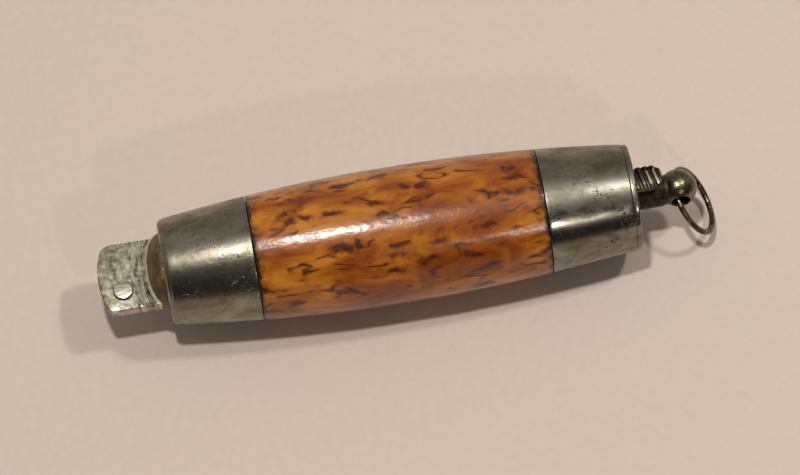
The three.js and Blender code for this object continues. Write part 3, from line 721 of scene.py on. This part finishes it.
def ball_stud():
    """A riveted spigot, a thick neck and a ball drilled across for the ring."""
    chamfer = 0.25
    neck = math.degrees(math.asin((STUD_RADIUS - chamfer) / BALL_RADIUS))
    ball_start = BALL_X - BALL_RADIUS * math.cos(math.radians(neck))
    head_end = STUD_LOW.x + 1.1
    shoulder = END_X + 0.1
    outline = [
        (STUD_LOW.x, 0),
        *bend((STUD_LOW.x, 0.6), (STUD_LOW.x, HEAD_RADIUS), (head_end - 0.2, HEAD_RADIUS), 6),
        (head_end, HEAD_RADIUS),
        (head_end, SPIGOT_RADIUS),
        (shoulder, SPIGOT_RADIUS),
        (shoulder, STUD_RADIUS - chamfer),
        (shoulder + chamfer, STUD_RADIUS),
        (STUD_NECK_X - 1.2, STUD_RADIUS),
        *bend((STUD_NECK_X - 1.2, STUD_RADIUS), (STUD_NECK_X - 0.6, STUD_RADIUS - 0.3),
              (ball_start, STUD_RADIUS - chamfer), 4),
        *arc(BALL_X, 0, BALL_RADIUS, 180 - neck, 0, 28)[1:],
    ]
    stud = lathe("ball_stud_turned", outline, centre=(0, STUD_Y, AXIS_Z), segments=96)
    flare = BALL_RADIUS * 0.74
    wide = HOLE_RADIUS + 0.8
    mouth = bend(
        (-BALL_RADIUS - 0.3, wide), (-flare, HOLE_RADIUS), (-flare + 1.2, HOLE_RADIUS), 8
    )
    bore = [(-5, 0), (-5, wide), *mouth, *[(-x, r) for x, r in mouth[::-1]], (5, wide), (5, 0)]
    hole = lathe("hole", bore, axis="y", segments=64)
    lean = Matrix.Rotation(-RING_TILT, 4, "X")
    hole.data.transform(Matrix.Translation((BALL_X, STUD_Y, AXIS_Z)) @ lean)
    return combine(stud, hole)


def lanyard_ring():
    """A wire ring whose plane holds the hole's axis, a little out of round."""
    low, high = edges("lanyard_ring")
    across = Vector((0, -math.cos(RING_TILT), math.sin(RING_TILT)))
    down = Vector((0, -math.sin(RING_TILT), -math.cos(RING_TILT)))
    out = Vector((math.cos(RING_HANG), 0, 0)) + down * math.sin(RING_HANG)
    normal = out.cross(across)
    middle = (low + high) / 2
    build = bmesh.new()
    steps, sides = 120, 24
    rings = []
    for i in range(steps):
        angle = 2 * math.pi * i / steps
        spoke = out * math.cos(angle) + across * math.sin(angle)
        wire = WIRE_RADIUS * (1 - 0.03 * math.cos(3 * angle + 1) - 0.03)
        centre = middle + spoke * (RING_RADIUS + 0.03 * math.sin(2 * angle))
        rings.append([
            build.verts.new(centre + wire * (spoke * math.cos(a) + normal * math.sin(a)))
            for a in (2 * math.pi * j / sides for j in range(sides))
        ])
    for i in range(steps):
        after = rings[(i + 1) % steps]
        for j in range(sides):
            k = (j + 1) % sides
            build.faces.new([rings[i][j], rings[i][k], after[k], after[j]])
    bmesh.ops.recalc_face_normals(build, faces=build.faces)
    return new_object("lanyard_ring_wire", build)


# ---------------------------------------------------------------------------------------------
# Frame
# ---------------------------------------------------------------------------------------------
HEAD_LOW, HEAD_HIGH = edges("frame_head")
TAB_HALF_WIDTH = 7.0
TAB_HALF_THICKNESS = 1.45
TAB_END_RADIUS = 16.0
DOME_RISE = 3.25
COLLAR_RADIUS = 7.75
COLLAR_END = MOUTH_X + 3.3
LUG_HALF_WIDTH = 5.4
LUG_LOW, LUG_HIGH = 1.75, 3.25
SLOT_HALF_HEIGHT = 0.7
SLOT_SOUTH = -5.8
BLADE_EDGE_Y = -4.7
PIN_LOW, PIN_HIGH = edges("blade_pivot_pin")
PIN_X, PIN_Y = (PIN_LOW.x + PIN_HIGH.x) / 2, (PIN_LOW.y + PIN_HIGH.y) / 2
PIN_RADIUS = (PIN_HIGH.x - PIN_LOW.x) / 2


def frame_head():
    """A domed plug and a flat pull tab in one piece, slotted for the blade."""
    centre = HEAD_LOW.x + TAB_END_RADIUS
    north, south = 5.3, 6.5
    lean_north = math.degrees(math.asin(north / TAB_END_RADIUS))
    lean_south = math.degrees(math.asin(south / TAB_END_RADIUS))
    end = arc(centre, 0, TAB_END_RADIUS, 180 - lean_north, 180 + lean_south, 14)
    corner = centre - math.sqrt(TAB_END_RADIUS**2 - TAB_HALF_WIDTH**2)
    round_north, round_south = 1.7, 0.5
    outline = [
        (MOUTH_X + 1, -TAB_HALF_WIDTH),
        (MOUTH_X + 1, TAB_HALF_WIDTH),
        (corner + round_north, TAB_HALF_WIDTH),
        *bend((corner + round_north, TAB_HALF_WIDTH), (corner, TAB_HALF_WIDTH), end[0], 6),
        *end[1:],
        *bend(end[-1], (corner, -TAB_HALF_WIDTH), (corner + round_south, -TAB_HALF_WIDTH), 3),
    ]
    head = prism(
        "frame_head_cast", outline, AXIS_Z - TAB_HALF_THICKNESS, AXIS_Z + TAB_HALF_THICKNESS
    )
    soften(head, 0.2, 3, 40)
    angles = [math.pi / 2 * i / 20 for i in range(21)]
    plug = [
        *[(MOUTH_X - DOME_RISE * math.cos(a), COLLAR_RADIUS * math.sin(a)) for a in angles],
        (COLLAR_END - 0.2, COLLAR_RADIUS),
        (COLLAR_END, COLLAR_RADIUS - 0.2),
        (COLLAR_END, 0),
    ]
    combine(head, lathe("plug", plug, centre=(0, 0, AXIS_Z), segments=96), "UNION")
    for low, high in ((LUG_LOW, LUG_HIGH), (-LUG_HIGH, -LUG_LOW)):
        lug = slab(
            "lug",
            (COLLAR_END - 0.5, -LUG_HALF_WIDTH, AXIS_Z + low),
            (HEAD_HIGH.x, LUG_HALF_WIDTH, AXIS_Z + high),
        )
        combine(head, soften(lug, 0.2), "UNION")
    slot = slab(
        "slot",
        (HEAD_LOW.x - 1, SLOT_SOUTH, AXIS_Z - SLOT_HALF_HEIGHT),
        (COLLAR_END + 1, 10, AXIS_Z + SLOT_HALF_HEIGHT),
    )
    combine(head, slot)
    worn_x, worn_y = 0.08, -0.1  # the hole's wear, away from the pin's centre
    return drill(head, PIN_RADIUS + 0.17, "z", (PIN_X + worn_x, PIN_Y + worn_y, AXIS_Z))


def pivot_pin():
    """A filed pin, slightly crowned, with a small round edge."""
    outline = [
        (PIN_LOW.z, 0),
        (PIN_LOW.z, PIN_RADIUS - 0.15),
        (PIN_LOW.z + 0.15, PIN_RADIUS),
        (PIN_HIGH.z - 0.2, PIN_RADIUS),
        *bend((PIN_HIGH.z - 0.2, PIN_RADIUS), (PIN_HIGH.z - 0.06, PIN_RADIUS),
              (PIN_HIGH.z - 0.04, PIN_RADIUS - 0.25), 4),
        (PIN_HIGH.z, 0),
    ]
    return lathe("blade_pivot_pin_filed", outline, "z", (PIN_X, PIN_Y, 0), 72)


def blade():
    """The folded blade: tang round the pin, straight spine, ground bevels down to the edge."""
    low, high = edges("blade")
    half = (high.z - low.z) / 2
    spine, edge, tip = high.y, BLADE_EDGE_Y, high.x
    tang, heel = 2.7, PIN_X + 6
    round_tang = arc(PIN_X, PIN_Y, tang, 270, 112, 16)
    outline = [
        *round_tang,
        *bend(round_tang[-1], (PIN_X + 1, spine - 1), (heel, spine)),
        (tip - 20, spine),
        *bend((tip - 20, spine), (tip - 8, spine - 0.6), (tip, spine - 4.2), 14),
        *bend((tip, spine - 4.2), (tip - 6, edge), (tip - 16, edge), 14),
        (heel + 4, edge),
        (heel + 2, PIN_Y - tang + 0.4),
    ]
    made = prism("blade_ground", outline, AXIS_Z - half, AXIS_Z + half)
    drill(made, PIN_RADIUS + 0.05, "z", (PIN_X, PIN_Y, AXIS_Z))
    bevel_top, edge_half = 0.8, 0.12
    for side in (1, -1):
        section = [
            (bevel_top, AXIS_Z + side * half),
            (edge - 0.5, AXIS_Z + side * edge_half),
            (edge - 0.5, AXIS_Z + side * 2),
            (bevel_top, AXIS_Z + side * 2),
        ]
        combine(made, prism("wedge", section, heel + 6, tip + 2, along="x"))
    return made


def refined(node, name, width):
    """A copy of a CAD node's solid with its sharp edges rounded."""
    build = bmesh.new()
    build.from_mesh(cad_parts[node].data)
    build.transform(Matrix.Scale(1 / MM, 4))
    bmesh.ops.remove_doubles(build, verts=build.verts, dist=0.002)
    bmesh.ops.dissolve_limit(
        build, angle_limit=math.radians(2), verts=build.verts, edges=build.edges
    )
    return soften(new_object(name, build), width)


def rivet(node):
    """A round-headed rivet in its CAD node's place, headed at the ends that stand proud."""
    low, high = edges(node)
    head = (high.x - low.x) / 2
    shank = head / 1.6
    rise = 0.3
    centre = ((low.x + high.x) / 2, (low.y + high.y) / 2, 0)

    def end(z, inward, headed):
        if not headed:
            return [(z, 0), (z, shank)]
        edge = z + inward * rise
        crown = bend((z, 0), (z + inward * 0.02, head * 0.85), (edge, head), 6)
        return [(z, 0), *crown, (edge, shank)]

    bottom, top = end(low.z, 1, "upper" not in node), end(high.z, -1, "lower" not in node)
    return lathe(node + "_set", bottom + top[::-1], "z", centre, 40)


# ---------------------------------------------------------------------------------------------
# Catch
# ---------------------------------------------------------------------------------------------
CATCH_LOW, CATCH_HIGH = edges("catch_lever")
CATCH_PIN_LOW, CATCH_PIN_HIGH = edges("catch_pivot_pin")
THUMB_START = 46.95
THUMB_THICKNESS = 1.8
THUMB_DROP = 1.6  # room under the thumb piece in the end plate
ARM_HALF_WIDTH = 1.65
ARM_THICKNESS = 1.3
ARM_RISE_X = 39.4
BOSS_RADIUS = 1.4
SERRATIONS = 4
SERRATION_X = 47.6
SERRATION_PITCH = 1.35
SERRATION_DEPTH = 0.42
SERRATION_SLANT = 0.2  # in radians, about Z
PIN_HEAD_RATIO = 1.4
SPRING_LOW, SPRING_HIGH = edges("catch_spring")
SPRING_THICKNESS = 0.4
SPRING_FLAT_X = 34
SPRING_BEND_X = 37.2
CATCH_PIVOT = Vector((
    (CATCH_PIN_LOW.x + CATCH_PIN_HIGH.x) / 2,
    0,
    (CATCH_PIN_LOW.z + CATCH_PIN_HIGH.z) / 2,
))


def catch_lever():
    """An arm from the pivot's boss, and a thumb piece with slanted ridges across its top."""
    top, end = CATCH_HIGH.z, CATCH_HIGH.x
    thumb_low = top - THUMB_THICKNESS
    arm_high = thumb_low + ARM_THICKNESS
    half = (CATCH_HIGH.y - CATCH_LOW.y) / 2
    middle = (CATCH_HIGH.y + CATCH_LOW.y) / 2
    arm = [
        *arc(CATCH_PIVOT.x, CATCH_PIVOT.z, BOSS_RADIUS, 90, 315, 18),
        (ARM_RISE_X, thumb_low),
        (THUMB_START + 1, thumb_low),
        (THUMB_START + 1, arm_high),
        (ARM_RISE_X - 0.6, arm_high),
    ]
    lever = prism("catch_lever_filed", arm, -ARM_HALF_WIDTH, ARM_HALF_WIDTH, along="y")
    soften(lever, 0.15)
    thumb = [
        (THUMB_START, middle + half),
        (THUMB_START, middle - half),
        *arc(end - half, middle, half, 270, 450, 24),
    ]
    plate = prism("thumb", thumb, thumb_low, top)
    side = [(0.1, -SERRATION_DEPTH), (0.46, 0), (0.62, 0.3)]
    section = [(-x, z) for x, z in side[::-1]] + side
    slant = Matrix.Rotation(SERRATION_SLANT, 4, "Z")
    for i in range(SERRATIONS):
        groove = prism("groove", section, -6, 6, along="y")
        there = Matrix.Translation((SERRATION_X + i * SERRATION_PITCH, 0, top))
        groove.data.transform(there @ slant)
        combine(plate, groove)
    soften(plate, 0.12, 2, 30)
    combine(lever, plate, "UNION")
    pin_radius = (CATCH_PIN_HIGH.z - CATCH_PIN_LOW.z) / 2 / PIN_HEAD_RATIO
    return drill(lever, pin_radius + 0.05, "y", CATCH_PIVOT, 40)


def catch_spring():
    """A leaf that lies on the bracket, then curves up to the lever's arm."""
    low, high = SPRING_LOW, SPRING_HIGH
    half = (high.y - low.y) / 2
    flat_steps, steps = 6, 24
    under = [(low.x, low.z), (SPRING_FLAT_X - 1, low.z)]
    for i in range(flat_steps + 1):
        x = SPRING_FLAT_X + i * (SPRING_BEND_X - SPRING_FLAT_X) / flat_steps
        under.append((x, low.z))
    rise = high.z - SPRING_THICKNESS - low.z
    for i in range(1, steps + 1):
        share = i / steps
        x = SPRING_BEND_X + (high.x - SPRING_BEND_X) * share
        under.append((x, low.z + rise * share**2 * (3 - 2 * share)))
    over = [(x, z + SPRING_THICKNESS) for x, z in under]
    leaf = prism("catch_spring_leaf", under + over[::-1], -half, half, along="y")
    return soften(leaf, 0.08, 2, 50)


# ---------------------------------------------------------------------------------------------
# Assembly
# ---------------------------------------------------------------------------------------------
add_camera()
add_room()
add_floor()
add_lamp("lamp_left", -5.5, 20.5, 0.045, 3.65)
add_lamp("lamp_right", 29, 33, 0.07, 2.0)
add_lamp("lamp_near", 21.5, -25.5, 0.035, 0.65)
bpy.context.scene.view_settings.view_transform = "Standard"

birch = curly_birch()
ferrule_steel = worn_steel(
    "ferrule_steel", colour(158, 155, 144), colour(112, 106, 88), colour(116, 104, 76), 0.23, 1.15
)
rear_steel = worn_steel(
    "rear_ferrule_steel", colour(148, 145, 135), colour(104, 99, 84), colour(108, 97, 72),
    0.28, 1.3, hammering=0.013, rubbed=-5.8,
)
stud_steel = stud_metal()
head_metal = head_casting()
plate_steel = brushed_steel(
    "plate_steel", colour(168, 166, 158), colour(122, 120, 112), (9, 1, 1), 0.3
)
blade_steel = brushed_steel(
    "blade_steel", colour(196, 196, 190), colour(150, 150, 146), (1, 9, 1), 0.2
)
pin_steel = brushed_steel(
    "pin_steel", colour(226, 222, 210), colour(158, 152, 136), (7, 0.6, 1), 0.3, 0.03
)
spring_steel = brushed_steel(
    "spring_steel", colour(120, 122, 124), colour(84, 86, 92), (9, 1, 1), 0.28
)
# The thumb piece's steel is given painted shade in its grooves, beside the end plate and at its
# sides.
catch_steel = worn_steel(
    "catch_steel", colour(216, 208, 190), colour(140, 128, 106), colour(112, 94, 70), 0.26, 1.1,
    painted_shade=thumb_painted_shade,
)

place(wood_barrel(), birch, "barrel", "wood_barrel")
place(front_ferrule(), ferrule_steel, "barrel", "front_ferrule")
place(rear_ferrule(), rear_steel, "barrel", "rear_ferrule")
place(rear_end_plate(), rear_steel, "barrel", "rear_end_plate")
place(ball_stud(), stud_steel, "swivel", "ball_stud")
place(
    refined("stud_washer", "stud_washer_eased", 0.1),
    stud_steel, "swivel", "stud_washer",
)
place(lanyard_ring(), ring_metal(), "ring", "lanyard_ring")
place(frame_head(), head_metal, "frame", "frame_head")
place(blade(), blade_steel, "frame", "blade")
place(pivot_pin(), pin_steel, "frame", "blade_pivot_pin")
plates = ("frame_upper_plate", "frame_lower_plate", "back_spacer", "tail_block", "catch_bracket")
for node in plates:
    place(refined(node, node + "_eased", 0.12), plate_steel, "frame", node)
place(
    refined("catch_pivot_pin", "catch_pivot_pin_eased", 0.1),
    pin_steel, "frame", "catch_pivot_pin",
)
rivets = [name for name in sorted(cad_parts) if "rivet" in name]
for node in rivets:
    place(rivet(node), pin_steel, "frame", node)
place(catch_lever(), catch_steel, "catch", "catch_lever")
leaf = place(catch_spring(), spring_steel, None, "catch_spring")
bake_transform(leaf)
